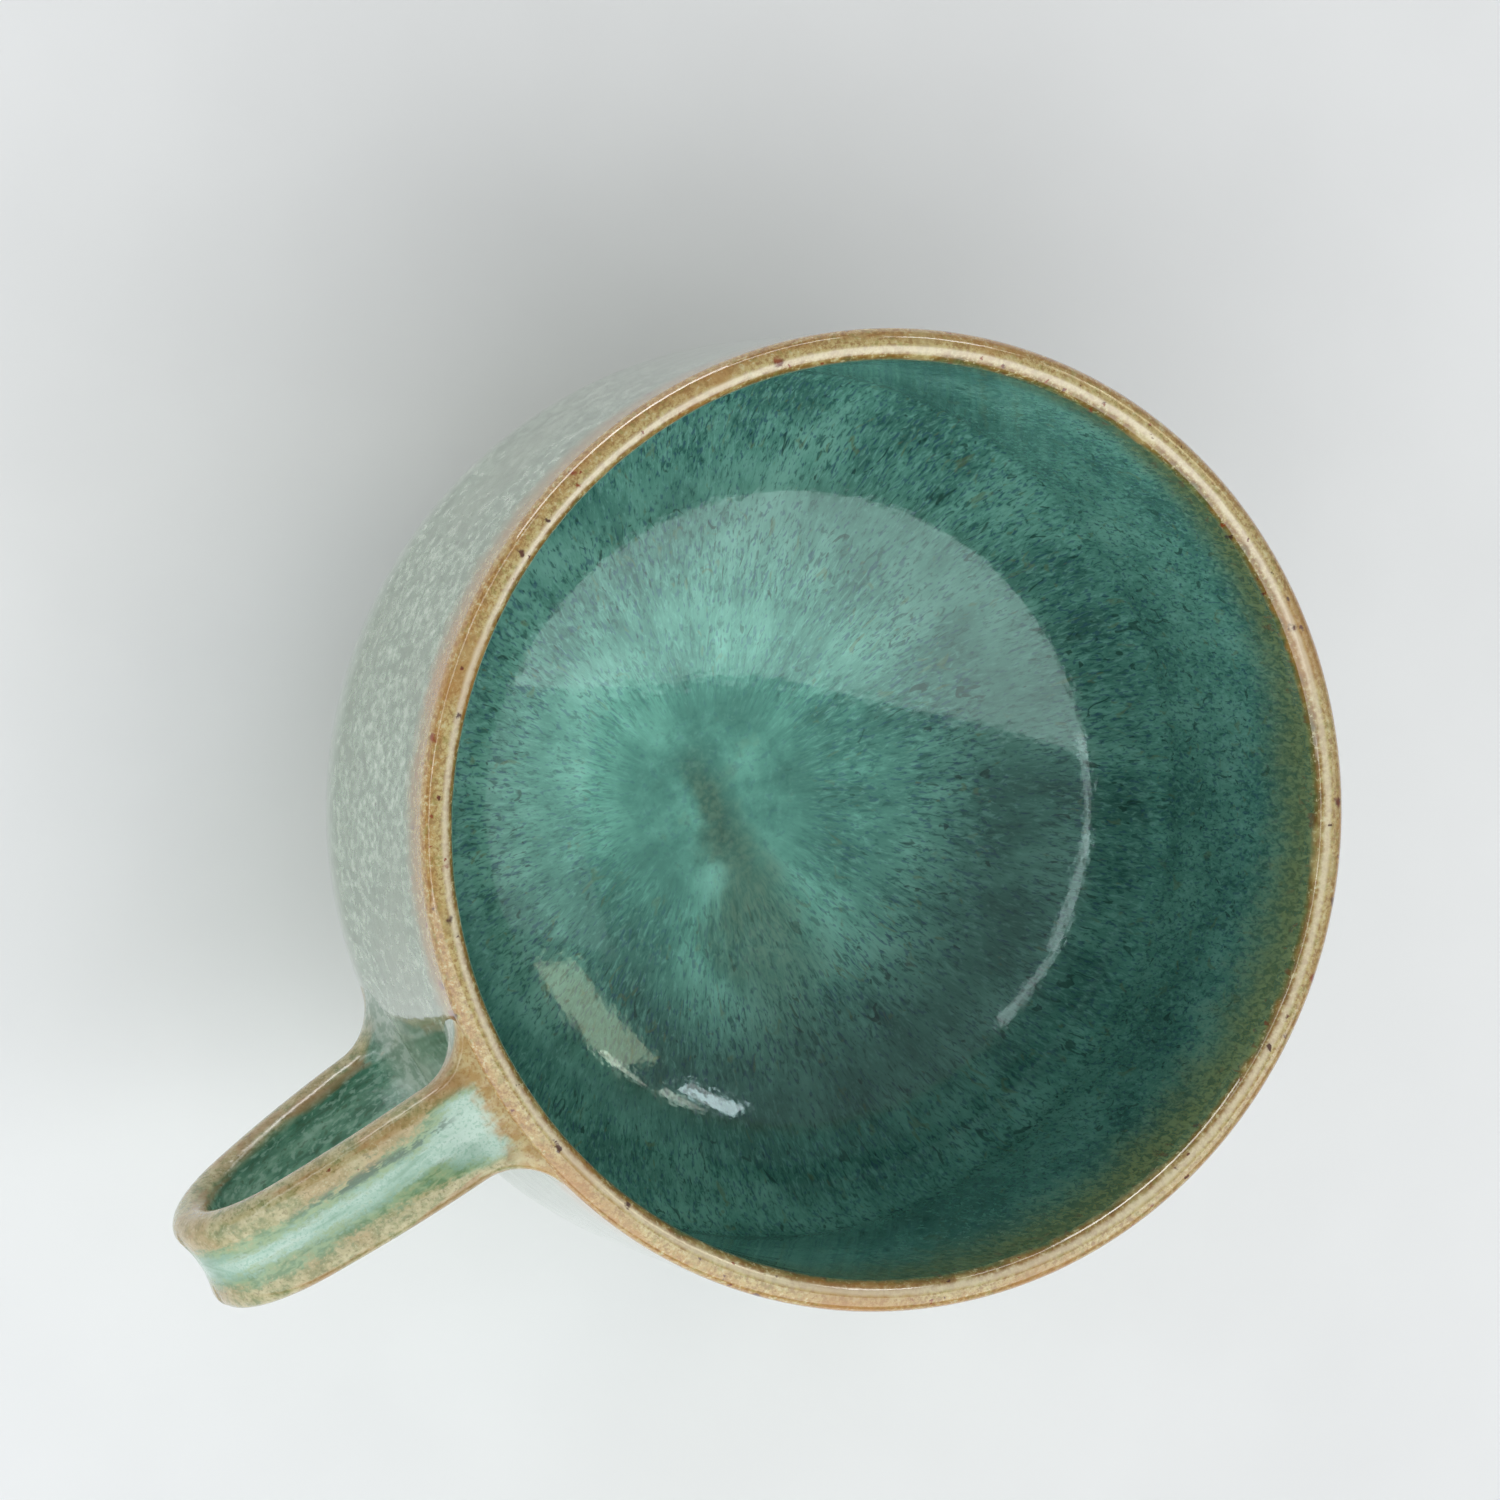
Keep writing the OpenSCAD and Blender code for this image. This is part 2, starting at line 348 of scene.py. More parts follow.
def cell_points(d, cells):
    """For each cell, the middle of the places where its edges cross from inside to outside, in grid steps."""
    total, found = np.zeros((len(cells), 3)), np.zeros(len(cells))
    for a in np.ndindex(2, 2, 2):
        for ax in range(3):
            if a[ax]:
                continue
            b = list(a)
            b[ax] = 1
            at_a, at_b = cells + a, cells + b
            da, db = d[tuple(at_a.T)], d[tuple(at_b.T)]
            hit = (da < 0) != (db < 0)
            crossing = at_a.astype(float)
            crossing[:, ax] += np.where(hit, da / np.where(hit, da - db, 1), 0)
            total += np.where(hit[:, None], crossing, 0)
            found += hit
    return total / found[:, None]


def cell_quads(inside, index):
    """One quad round each grid edge that the surface crosses, made of the four cells' points, facing out."""
    faces = []
    for ax in range(3):
        b, c = (ax + 1) % 3, (ax + 2) % 3
        first = [slice(1, n - 1) for n in inside.shape]
        first[ax] = slice(0, inside.shape[ax] - 1)
        second = list(first)
        second[ax] = slice(1, inside.shape[ax])
        starts_in, ends_in = inside[tuple(first)], inside[tuple(second)]
        base = np.argwhere(starts_in != ends_in)
        flip = starts_in[tuple(base.T)]
        base[:, b] += 1
        base[:, c] += 1
        quad = []
        for step_b, step_c in ((0, 0), (-1, 0), (-1, -1), (0, -1)):
            cell = base.copy()
            cell[:, b] += step_b
            cell[:, c] += step_c
            quad.append(index[tuple(cell.T)])
        quad = np.stack(quad, 1)
        quad[~flip] = quad[~flip][:, ::-1]
        faces.append(quad[quad.min(1) >= 0])
    return np.concatenate(faces)


def settle(f, verts):
    """The points moved onto the zero surface of f."""
    for _ in range(4):
        g = gradient(f, verts)
        move = f(verts)[:, None] * g / np.maximum((g * g).sum(1), 0.2)[:, None]
        size = np.linalg.norm(move, axis=1)[:, None]
        verts = verts - move * np.minimum(1, 0.3 / np.maximum(size, 1e-9))
    return verts


def largest_part(verts, faces):
    """Only the biggest connected part of a mesh, without the slivers that a cut can leave."""
    label = np.arange(len(verts))
    while True:
        lowest = label.copy()
        np.minimum.at(lowest, faces, label[faces].min(1)[:, None])
        if (lowest == label).all():
            break
        label = lowest
    kept = label == np.bincount(label).argmax()
    number = np.cumsum(kept) - 1
    return verts[kept], number[faces[kept[faces[:, 0]]]].tolist()


def surface_net(f, step):
    """The zero surface of f as quads: one point in each grid cell that the surface crosses."""
    count = np.ceil((np.array(GRID_HIGH) - GRID_LOW) / step).astype(int) + 1
    axes = [GRID_LOW[i] + step * np.arange(count[i]) for i in range(3)]
    grid = np.stack(np.meshgrid(*axes, indexing="ij"), -1)
    d = f(grid.reshape(-1, 3)).reshape(count)
    inside = d < 0
    corners = [tuple(slice(i, n - 1 + i) for i, n in zip(a, count)) for a in np.ndindex(2, 2, 2)]
    corners_in = sum(inside[c].astype(int) for c in corners)
    crossed = (corners_in > 0) & (corners_in < 8)
    cells = np.argwhere(crossed)
    index = -np.ones(crossed.shape, int)
    index[crossed] = np.arange(len(cells))
    verts = np.array(GRID_LOW) + step * cell_points(d, cells)
    return largest_part(settle(f, verts), cell_quads(inside, index))


def make_handle_coat():
    """The handle's coat, with its places on the strap as attributes and its normals taken from the field."""
    verts, faces = surface_net(handle_field, 0.42)
    n, s = loop_distance(verts[:, 0], verts[:, 2])
    attributes = {
        "across": verts[:, 1] / STRAP_W,
        "out": n / STRAP_T,
        "along": s * MM,
        "off": joined_field(verts)[1] * MM,
    }
    piece = mesh_piece("handle_coat", verts * MM, faces, attributes, sharp=180)
    normals = gradient(lambda q: joined_field(q)[2], verts, 0.05)
    normals /= np.linalg.norm(normals, axis=1)[:, None]
    piece.data.normals_split_custom_set_from_vertices([tuple(map(float, v)) for v in normals])
    return piece


def make_strap_clay():
    verts, faces = surface_net(clay_field, 0.52)
    return mesh_piece("strap_clay", verts * MM, faces, {}, sharp=60)


handle_coat = make_handle_coat()
strap_clay = make_strap_clay()


# --- Materials ---
FLOW_R = (16 * MM, 27 * MM, 45 * MM)
GLAZE_IOR = 1.6


def srgb(r, g, b):
    channels = (c / 255 for c in (r, g, b))
    return tuple(((c + 0.055) / 1.055) ** 2.4 if c > 0.04 else c / 12.92 for c in channels) + (1.0,)


class Look:
    """A material under construction. Values are sockets or plain numbers."""

    def __init__(self, name):
        self.mat = bpy.data.materials.new(name)
        self.mat.use_nodes = True
        self.tree = self.mat.node_tree
        self.tree.nodes.clear()
        self.shader = self.add("ShaderNodeBsdfPrincipled")
        out = self.add("ShaderNodeOutputMaterial")
        self.tree.links.new(self.shader.outputs[0], out.inputs[0])
        self.place = self.add("ShaderNodeTexCoord").outputs["Object"]
        xyz = self.add("ShaderNodeSeparateXYZ")
        self.put(self.place, xyz.inputs[0])
        self.x, self.y, self.z = xyz.outputs
        self.r = self.math("SQRT", self.plus(self.times(self.x, self.x), self.times(self.y, self.y)))

    def add(self, kind, **props):
        node = self.tree.nodes.new(kind)
        for key, value in props.items():
            setattr(node, key, value)
        return node

    def put(self, value, socket):
        if isinstance(value, bpy.types.NodeSocket):
            self.tree.links.new(value, socket)
        elif socket.type == "RGBA" and not isinstance(value, tuple):
            socket.default_value = (value, value, value, 1)
        else:
            socket.default_value = value

    def attr(self, name):
        return self.add("ShaderNodeAttribute", attribute_name=name).outputs["Fac"]

    def math(self, op, a, b=None, c=None):
        node = self.add("ShaderNodeMath", operation=op)
        for i, v in enumerate((a, b, c)):
            if v is not None:
                self.put(v, node.inputs[i])
        return node.outputs[0]

    def plus(self, a, b):
        return self.math("ADD", a, b)

    def times(self, a, b):
        return self.math("MULTIPLY", a, b)

    def sway(self, value, noise, width):
        """The value, moved by the noise over this width, half of it to each side."""
        return self.plus(value, self.math("MULTIPLY_ADD", noise, width, -width / 2))

    def toward(self, dx, dy):
        """The distance from the mug's axis in this direction, seen from above."""
        return self.plus(self.times(self.x, dx), self.times(self.y, dy))

    def vec(self, x, y, z):
        node = self.add("ShaderNodeCombineXYZ")
        for i, v in enumerate((x, y, z)):
            self.put(v, node.inputs[i])
        return node.outputs[0]

    def noise(self, where, size, detail=2.0, rough=0.5, warp=0.0, colour=False):
        node = self.add("ShaderNodeTexNoise")
        self.put(where, node.inputs["Vector"])
        node.inputs["Scale"].default_value = 1 / size
        node.inputs["Detail"].default_value = detail
        node.inputs["Roughness"].default_value = rough
        node.inputs["Distortion"].default_value = warp
        return node.outputs["Color" if colour else "Fac"]

    def bend(self, where, size, by):
        """The coordinates, shaken by a noise of this size."""
        node = self.add("ShaderNodeVectorMath", operation="MULTIPLY_ADD")
        self.put(self.noise(self.place, size, 2, 0.6, colour=True), node.inputs[0])
        node.inputs[1].default_value = (by,) * 3
        self.put(where, node.inputs[2])
        return node.outputs[0]

    def fade(self, value, a, b, lo=0.0, hi=1.0, kind="SMOOTHSTEP"):
        """lo at a, hi at b, and smooth between unless kind says otherwise."""
        node = self.add("ShaderNodeMapRange", interpolation_type=kind)
        self.put(value, node.inputs["Value"])
        flip = a > b
        node.inputs["From Min"].default_value = b if flip else a
        node.inputs["From Max"].default_value = a if flip else b
        node.inputs["To Min"].default_value = hi if flip else lo
        node.inputs["To Max"].default_value = lo if flip else hi
        return node.outputs[0]

    def mix(self, fac, a, b, mode="MIX"):
        node = self.add("ShaderNodeMix", data_type="RGBA", blend_type=mode, clamp_factor=True)
        self.put(fac, node.inputs[0])
        self.put(a, node.inputs[6])
        self.put(b, node.inputs[7])
        return node.outputs[2]

    def gain(self, colour, r, g, b):
        return self.mix(1.0, colour, (r, g, b, 1.0), "MULTIPLY")

    def layers(self, colour, *rows, share=None):
        """Colours laid over each other. Each is there as its value goes from a to b, up to most of it."""
        for value, a, b, most, tone in rows:
            amount = self.fade(value, a, b, 0.0, most)
            if share is not None:
                amount = self.times(amount, share)
            colour = self.mix(amount, colour, srgb(*tone))
        return colour

    def between(self, value, a, b, tone_a, tone_b):
        """One colour at a and the other at b."""
        return self.mix(self.fade(value, a, b), srgb(*tone_a), srgb(*tone_b))

    def ramp(self, value, *stops):
        """Colours along a value, as (value, red, green, blue)."""
        node = self.add("ShaderNodeValToRGB")
        self.put(value, node.inputs[0])
        elements = node.color_ramp.elements
        while len(elements) < len(stops):
            elements.new(0.5)
        for element, (at, *tone) in zip(elements, stops):
            element.position, element.color = at, srgb(*tone)
        return node.outputs[0]

    def specks(self, where, cell, size, share, soft=0.35):
        """Round spots no bigger than size, in this share of cells."""
        node = self.add("ShaderNodeTexVoronoi", feature="F1")
        self.put(where, node.inputs["Vector"])
        node.inputs["Scale"].default_value = 1 / cell
        pick = self.add("ShaderNodeSeparateColor")
        self.put(node.outputs["Color"], pick.inputs[0])
        chosen = self.math("LESS_THAN", pick.outputs[0], share)
        radius = self.math("MULTIPLY_ADD", pick.outputs[1], 0.6 * size / cell, 0.4 * size / cell)
        edge = self.math("DIVIDE", node.outputs["Distance"], radius)
        return self.times(self.fade(edge, 1.0, 1.0 - soft), chosen)

    def flow(self, stretch, run):
        """Coordinates that run down the wall and in along the floor, one set true to size at each FLOW_R."""
        unit = self.math("DIVIDE", 1.0, self.math("MAXIMUM", self.r, 1e-5))
        cx, cy = self.times(self.x, unit), self.times(self.y, unit)
        down = self.times(run, stretch)
        return [self.vec(self.times(cx, at), self.times(cy, at), down) for at in FLOW_R]

    def streaks(self, flow, size, detail=2.0, rough=0.5, warp=0.0, seed=0.0):
        """Noise on the flow coordinates, cross-faded between the radii that they are true at."""
        total = self.noise(self.place, size * 2.4, detail + 1, rough, 0.2)
        before = FLOW_R[0] * 0.4
        for at, where in zip(FLOW_R, flow):
            moved = self.add("ShaderNodeVectorMath", operation="ADD")
            self.put(where, moved.inputs[0])
            moved.inputs[1].default_value = (seed, seed * 0.7, 0)
            node = self.add("ShaderNodeMix", data_type="FLOAT")
            self.put(self.fade(self.r, before * 1.12, at * 0.88), node.inputs[0])
            self.put(total, node.inputs[2])
            self.put(self.noise(moved.outputs[0], size, detail, rough, warp), node.inputs[3])
            total = node.outputs[0]
            before = at
        return total

    def done(self, colour, rough, height=None, depth=0.0, coat=0.0, spec=0.5):
        """Finishes the material, with bumps of this depth where a height is given."""
        inputs = self.shader.inputs
        self.put(colour, inputs["Base Color"])
        self.put(rough, inputs["Roughness"])
        inputs["IOR"].default_value = GLAZE_IOR
        inputs["Specular IOR Level"].default_value = spec
        inputs["Coat Weight"].default_value = coat
        inputs["Coat Roughness"].default_value = 0.02
        if height is not None:
            bump = self.add("ShaderNodeBump")
            bump.inputs["Strength"].default_value = 1.0
            bump.inputs["Distance"].default_value = depth
            self.put(height, bump.inputs["Height"])
            self.put(bump.outputs[0], inputs["Normal"])
        return self.mat


class CupLook(Look):
    """The glaze over the cup: one pattern in the distance from the lip, which carries on across the coats."""

    def __init__(self, name):
        super().__init__(name)
        self.lip = self.attr("lip")
        self.cloud = self.noise(self.place, 14 * MM, 3, 0.55)
        self.blotch = self.noise(self.place, 4 * MM, 3, 0.6)
        self.fine = self.noise(self.place, 1.1 * MM, 3, 0.6)
        self.grit = self.noise(self.place, 0.9 * MM, 3, 0.7)
        self.edge = self.sway(self.sway(self.lip, self.blotch, 2.6 * MM), self.fine, 1.8 * MM)

    def lip_band(self):
        """The lip, where the glaze breaks thin over the clay, with a painted highlight just inside its crest.
        """
        band = self.ramp(
            self.fade(self.edge, -9 * MM, 11 * MM, kind="LINEAR"),
            (0.00, 96, 104, 58),
            (0.30, 104, 106, 60),
            (0.36, 150, 124, 70),
            (0.40, 214, 178, 112),
            (0.44, 246, 226, 172),
            (0.47, 240, 212, 154),
            (0.51, 222, 172, 104),
            (0.56, 228, 188, 124),
            (0.61, 220, 182, 116),
            (0.68, 186, 152, 92),
            (0.78, 166, 154, 102),
            (1.00, 152, 162, 126),
        )
        sand = self.noise(self.place, 0.55 * MM, 3, 0.75)
        band = self.layers(
            band,
            (sand, 0.55, 0.38, 0.675, (168, 112, 48)),
            (sand, 0.55, 0.66, 0.85, (254, 242, 204)),
            (self.grit, 0.54, 0.66, 0.5, (176, 168, 92)),
            (self.blotch, 0.52, 0.70, 0.4, (240, 226, 178)),
            (self.cloud, 0.52, 0.64, 0.5, (216, 152, 80)),
        )
        band = self.gain(band, 0.565, 0.565, 0.46)
        # A pale cream line just inside the crest is a painted highlight.
        from_painted_highlight = self.plus(self.lip, self.math("MULTIPLY_ADD", self.fine, 0.5 * MM, 0.30 * MM))
        from_painted_highlight = self.math("ABSOLUTE", from_painted_highlight)
        return self.layers(band, (from_painted_highlight, 0.60 * MM, 0.10 * MM, 0.5, (236, 224, 198)))

    def with_iron(self, colour):
        """Iron spots of two sizes round the lip, drawn out a little down the wall."""
        where = self.bend(self.vec(self.x, self.y, self.times(self.z, 0.55)), 0.7 * MM, 1.0 * MM)
        large = self.specks(where, 3.0 * MM, 0.85 * MM, 0.50, 0.5)
        small = self.specks(where, 1.5 * MM, 0.40 * MM, 0.45, 0.5)
        near_lip = self.fade(self.lip, -5.0 * MM, -2.6 * MM)
        near_lip = self.times(near_lip, self.fade(self.lip, 9.5 * MM, 5.5 * MM))
        spots = self.times(self.math("MAXIMUM", large, small), near_lip)
        shade = self.noise(self.place, 2.4 * MM, 1, 0.5)
        tone = self.ramp(shade, (0.44, 134, 58, 20), (0.52, 92, 32, 12), (0.60, 66, 26, 20))
        return self.mix(self.times(spots, 0.92), colour, tone)

    def flecked_teal(self, run, broad, thin):
        """Teal with flecks that are calmer in the middle of the floor."""
        thinner = self.streaks(self.flow(0.34, run), 0.34 * MM, 1, 0.5, 0.3, 0.051)
        dab = self.streaks(self.flow(0.45, run), 1.5 * MM, 2, 0.55, 1.2, 0.093)
        teal = self.ramp(
            self.plus(self.times(self.cloud, 0.62), self.times(broad, 0.38)),
            (0.36, 54, 98, 88),
            (0.46, 68, 120, 108),
            (0.54, 84, 140, 126),
            (0.64, 106, 162, 148),
        )
        teal = self.layers(
            teal,
            (thin, 0.50, 0.68, 0.50, (114, 172, 160)),
            (thin, 0.48, 0.34, 0.75, (34, 76, 72)),
            (thinner, 0.44, 0.32, 0.60, (44, 74, 98)),
            (dab, 0.62, 0.72, 0.50, (88, 104, 66)),
            (dab, 0.36, 0.30, 0.75, (26, 54, 48)),
            share=self.fade(self.r, 6 * MM, 30 * MM, 0.30, 1.0),
        )
        return self.gain(teal, 1.48, 1.36, 1.30)

    def with_pale_floor_and_painted_shade(self, teal):
        """The floor is paler, and the wall is darkened on one side by painted shade."""
        pale = self.fade(self.r, 34 * MM, 14 * MM, 1.0, 2.2)
        teal = self.mix(1.0, teal, self.vec(self.times(pale, 1.04), pale, self.times(pale, 1.06)), "MULTIPLY")
        # Painted shade: the wall grows darker towards one side.
        painted_shade = self.fade(self.toward(-0.47 / RIM_R, 0.883 / RIM_R), 0.2, 0.95, 1.0, 0.76)
        return self.mix(1.0, teal, self.vec(painted_shade, painted_shade, painted_shade), "MULTIPLY")

    def with_smear(self, teal, broad, thin):
        """A brownish smear of thicker glaze, which starts at the floor's middle and widens as it runs out."""
        ahead, aside = self.toward(0.32, 0.947), self.toward(0.947, -0.32)
        aside = self.sway(self.sway(aside, self.cloud, 14 * MM), broad, 5 * MM)
        half_width = self.fade(ahead, -6 * MM, 22 * MM, 3.0 * MM, 8.0 * MM)
        beside = self.math("DIVIDE", self.math("ABSOLUTE", aside), half_width)
        length = self.times(self.fade(ahead, -8 * MM, 0.0), self.fade(ahead, 34 * MM, 14 * MM))
        smear = self.times(self.fade(beside, 1.0, 0.2), length)
        brown = self.between(thin, 0.42, 0.6, (82, 112, 88), (124, 140, 106))
        return self.mix(self.times(smear, 0.60), teal, brown)

    def inside(self):
        """Teal that runs down the wall and in along the floor, olive and rust below the lip."""
        run = self.times(self.lip, -1.0)
        broad = self.streaks(self.flow(0.20, run), 2.4 * MM, 4, 0.62, 0.5, 0.013)
        thin = self.streaks(self.flow(0.34, run), 0.50 * MM, 3, 0.6, 0.7, 0.029)
        teal = self.with_smear(self.with_pale_floor_and_painted_shade(self.flecked_teal(run, broad, thin)), broad, thin)
        # The olive reaches further down on one side
        shady = self.toward(0.17 / RIM_R, 0.98 / RIM_R)
        near = self.math("DIVIDE", self.lip, self.math("MULTIPLY_ADD", shady, 0.55, 1.0))
        near = self.sway(self.sway(near, broad, 9 * MM), thin, 4 * MM)
        olive = self.between(thin, 0.38, 0.62, (80, 90, 50), (120, 128, 80))
        colour = self.mix(self.fade(near, -14.5 * MM, -2.5 * MM), teal, olive)
        rust = self.streaks(self.flow(0.30, run), 1.0 * MM, 2, 0.6, 0.8, 0.17)
        rust = self.fade(rust, 0.60, 0.68, 0.0, 0.75)
        below_lip = self.fade(self.lip, -8 * MM, -3 * MM)
        below_lip = self.times(below_lip, self.fade(self.lip, -0.8 * MM, -2.0 * MM))
        return self.mix(self.times(rust, below_lip), colour, srgb(110, 66, 30))

    def outside(self):
        """Celadon, with curdled whitish spots."""
        squash = self.vec(self.x, self.y, self.times(self.z, 0.75))
        curd = self.times(self.noise(squash, 1.1 * MM, 4, 0.62), 0.76)
        curd = self.plus(curd, self.times(self.noise(squash, 2.8 * MM, 3, 0.6), 0.24))
        celadon = self.ramp(
            curd,
            (0.36, 118, 142, 120),
            (0.45, 148, 172, 152),
            (0.53, 184, 206, 190),
            (0.62, 234, 246, 238),
        )
        celadon = self.layers(celadon, (self.cloud, 0.45, 0.7, 0.5, (162, 176, 158)))
        dust = self.specks(self.place, 1.9 * MM, 0.34 * MM, 0.45)
        celadon = self.mix(self.times(dust, 0.8), celadon, srgb(88, 84, 66))
        return self.gain(celadon, 0.495, 0.535, 0.45)


def cup_look(name, sides):
    """The look of one coat of the cup: the lip's band, and the glaze of the sides that the coat reaches."""
    m = CupLook(name)
    colour = m.lip_band()
    if "in" in sides:
        colour = m.mix(m.fade(m.edge, -1.5 * MM, -2.6 * MM), colour, m.inside())
    if "out" in sides:
        curdled = m.plus(m.times(m.cloud, 0.5), m.times(m.grit, 0.5))
        reach = m.sway(m.edge, curdled, 7 * MM)
        colour = m.mix(m.fade(reach, 4.2 * MM, 8.8 * MM), colour, m.outside())
    colour = m.with_iron(colour)
    waves = m.noise(m.place, 2.2 * MM, 2, 0.5)
    height = m.plus(waves, m.times(m.fine, 0.7 if sides == ("out",) else 0.25))
    rough = m.fade(m.fine, 0.3, 0.7, 0.05, 0.11)
    coat = 0.75
    if sides == ("in",):
        coat = 0.45
        m.shader.inputs["Specular Tint"].default_value = (0.72, 1.0, 0.97, 1.0)
    return m.done(colour, rough, height, 0.035 * MM, coat=coat)


class HandleLook(Look):
    """The handle's glaze, by the place across the strap, out from its middle, along it and off the cup."""

    def __init__(self, name):
        super().__init__(name)
        self.across, self.out = self.attr("across"), self.attr("out")
        self.along, self.off = self.attr("along"), self.attr("off")
        self.side = self.math("ABSOLUTE", self.across)
        self.lane = self.stretched(0.22)
        self.fine_lane = self.stretched(0.45)
        self.run = self.noise(self.lane, 1.3 * MM, 3, 0.6, 0.5)
        self.fine_run = self.noise(self.fine_lane, 0.55 * MM, 2, 0.6, 0.3)
        self.mottle = self.noise(self.place, 1.2 * MM, 3, 0.6, 0.3)
        self.fine = self.noise(self.place, 0.35 * MM, 2, 0.6)
        self.root = self.fade(self.off, 10 * MM, 2.5 * MM)
        self.wander = self.math("MULTIPLY_ADD", self.run, 0.55, -0.275)
        self.wander = self.sway(self.sway(self.wander, self.fine_run, 0.36), self.fine, 0.30)
        pool = self.plus(self.side, self.wander)
        self.pool = self.math("SUBTRACT", pool, self.math("MULTIPLY_ADD", self.root, 0.44, -0.06))

    def stretched(self, stretch):
        """Coordinates on the strap, so that a pattern is drawn out along it."""
        across, out = self.times(self.across, STRAP_W * MM), self.times(self.out, STRAP_T * MM)
        return self.vec(across, out, self.times(self.along, stretch))

    def ridges(self):
        """The tan edges, where the glaze breaks thin."""
        tan = self.ramp(
            self.mottle,
            (0.34, 150, 156, 100),
            (0.45, 186, 180, 126),
            (0.55, 216, 200, 152),
            (0.68, 232, 216, 172),
        )
        cloud = self.noise(self.place, 7 * MM, 2, 0.5)
        return self.layers(
            tan,
            (cloud, 0.46, 0.62, 0.45, (214, 164, 104)),
            (self.fine, 0.47, 0.30, 0.6, (136, 124, 64)),
            (self.fine, 0.56, 0.68, 0.5, (240, 226, 186)),
        )

    def inner_face(self):
        """The green side that faces the cup."""
        green = self.ramp(
            self.run,
            (0.34, 66, 116, 96),
            (0.46, 88, 146, 124),
            (0.58, 124, 174, 152),
            (0.70, 160, 200, 184),
        )
        return self.layers(
            green,
            (self.fine_run, 0.52, 0.66, 0.7, (164, 202, 188)),
            (self.fine_run, 0.44, 0.32, 0.6, (70, 104, 78)),
        )

    def outer_face(self, ridges):
        """A mint run down the channel, wider at its root, between the ridges, with a dark thread beside it."""
        mint = self.ramp(
            self.run,
            (0.34, 152, 194, 172),
            (0.46, 184, 222, 206),
            (0.58, 212, 242, 232),
            (0.70, 232, 252, 246),
        )
        mint = self.mix(self.times(self.root, 0.7), mint, srgb(226, 250, 242))
        mint = self.layers(mint, (self.fine, 0.50, 0.36, 0.45, (142, 194, 168)))
        green = self.between(self.fine_run, 0.38, 0.6, (128, 164, 118), (172, 200, 156))
        bank = self.mix(self.fade(self.pool, 0.38, 0.64), green, ridges)
        colour = self.mix(self.fade(self.pool, 0.14, 0.40), mint, bank)
        beside = self.math("ABSOLUTE", self.plus(self.plus(self.across, 0.36), self.times(self.wander, 0.6)))
        length = self.times(self.fade(self.along, 5 * MM, 9 * MM), self.fade(self.along, 28 * MM, 19 * MM))
        thread = self.times(self.fade(beside, 0.14, 0.02), length)
        thread = self.times(thread, self.fade(self.fine_run, 0.62, 0.44))
        return self.mix(self.times(thread, 0.75), colour, srgb(70, 104, 82))

    def with_rust(self, colour):
        """Rust along the edges, and iron spots beside the mint run."""
        rust = self.fade(self.noise(self.lane, 2.6 * MM, 3, 0.7, 0.4), 0.50, 0.62)
        rust = self.times(rust, self.fade(self.side, 0.62, 0.80))
        colour = self.mix(self.times(rust, 0.5), colour, srgb(196, 132, 72))
        where = self.bend(self.fine_lane, 0.8 * MM, 0.8 * MM)
        large = self.specks(where, 2.6 * MM, 0.36 * MM, 0.5, 0.5)
        small = self.specks(where, 1.4 * MM, 0.2 * MM, 0.4, 0.5)
        share = self.times(self.fade(self.pool, 0.5, 0.66), 0.92)
        return self.mix(self.times(self.math("MAXIMUM", large, small), share), colour, srgb(140, 62, 24))

    def with_root(self, colour, face):
        """Beside the cup, the coat has the wall's own colour below and the lip's tan above."""
        wall = self.between(self.mottle, 0.4, 0.6, (158, 182, 166), (206, 220, 210))
        under_face = self.math("SUBTRACT", 1.0, face)
        colour = self.mix(self.times(self.fade(self.off, 3.2 * MM, 0.2 * MM), under_face), colour, wall)
        tan = self.between(self.mottle, 0.38, 0.64, (220, 176, 112), (244, 216, 160))
        tan = self.layers(tan, (self.fine, 0.5, 0.34, 0.6, (196, 140, 80)))
        high_up = self.fade(self.z, TOP - LOOP_DROP * MM, TOP - 1.4 * MM)
        brow = self.fade(self.sway(self.off, self.mottle, 3.0 * MM), 2.9 * MM, 0.7 * MM)
        return self.mix(self.times(high_up, brow), colour, tan)


def handle_look():
    m = HandleLook("handle_glaze_look")
    face = m.fade(m.out, 0.1, 0.45)
    ridges = m.ridges()
    colour = m.mix(face, m.inner_face(), m.outer_face(ridges))
    edges = m.times(m.fade(m.side, 0.66, 0.86), m.fade(m.out, -1.15, -0.7))
    colour = m.with_root(m.with_rust(m.mix(edges, colour, ridges)), face)
    height = m.plus(m.noise(m.place, 2.2 * MM, 2, 0.5), m.times(m.mottle, 0.3))
    colour = m.gain(colour, 0.56, 0.59, 0.54)
    return m.done(colour, m.fade(m.fine, 0.3, 0.7, 0.12, 0.24), height, 0.10 * MM, coat=0.35)


def clay_look(name, tone):
    """Bare fired clay: sandy grain, darker specks of grog and the rings of the turning tool."""
    m = Look(name)
    grain = m.noise(m.place, 0.35 * MM, 3, 0.7)
    patch = m.noise(m.place, 9 * MM, 2, 0.5)
    turn = m.noise(m.vec(m.r, 0.0, m.z), 0.55 * MM, 2, 0.6)
    darker = tuple(c * 0.72 for c in tone[:3]) + (1,)
    colour = m.mix(m.fade(grain, 0.36, 0.62), darker, tone)
    colour = m.layers(colour, (patch, 0.4, 0.7, 0.4, (176, 138, 96)))
    grog = m.specks(m.place, 1.5 * MM, 0.35 * MM, 0.35)
    colour = m.mix(m.times(grog, 0.8), colour, srgb(104, 66, 44))
    height = m.plus(m.times(grain, 0.6), m.times(turn, 0.8))
    return m.done(colour, m.fade(grain, 0.3, 0.7, 0.62, 0.85), height, 0.12 * MM, spec=0.3)


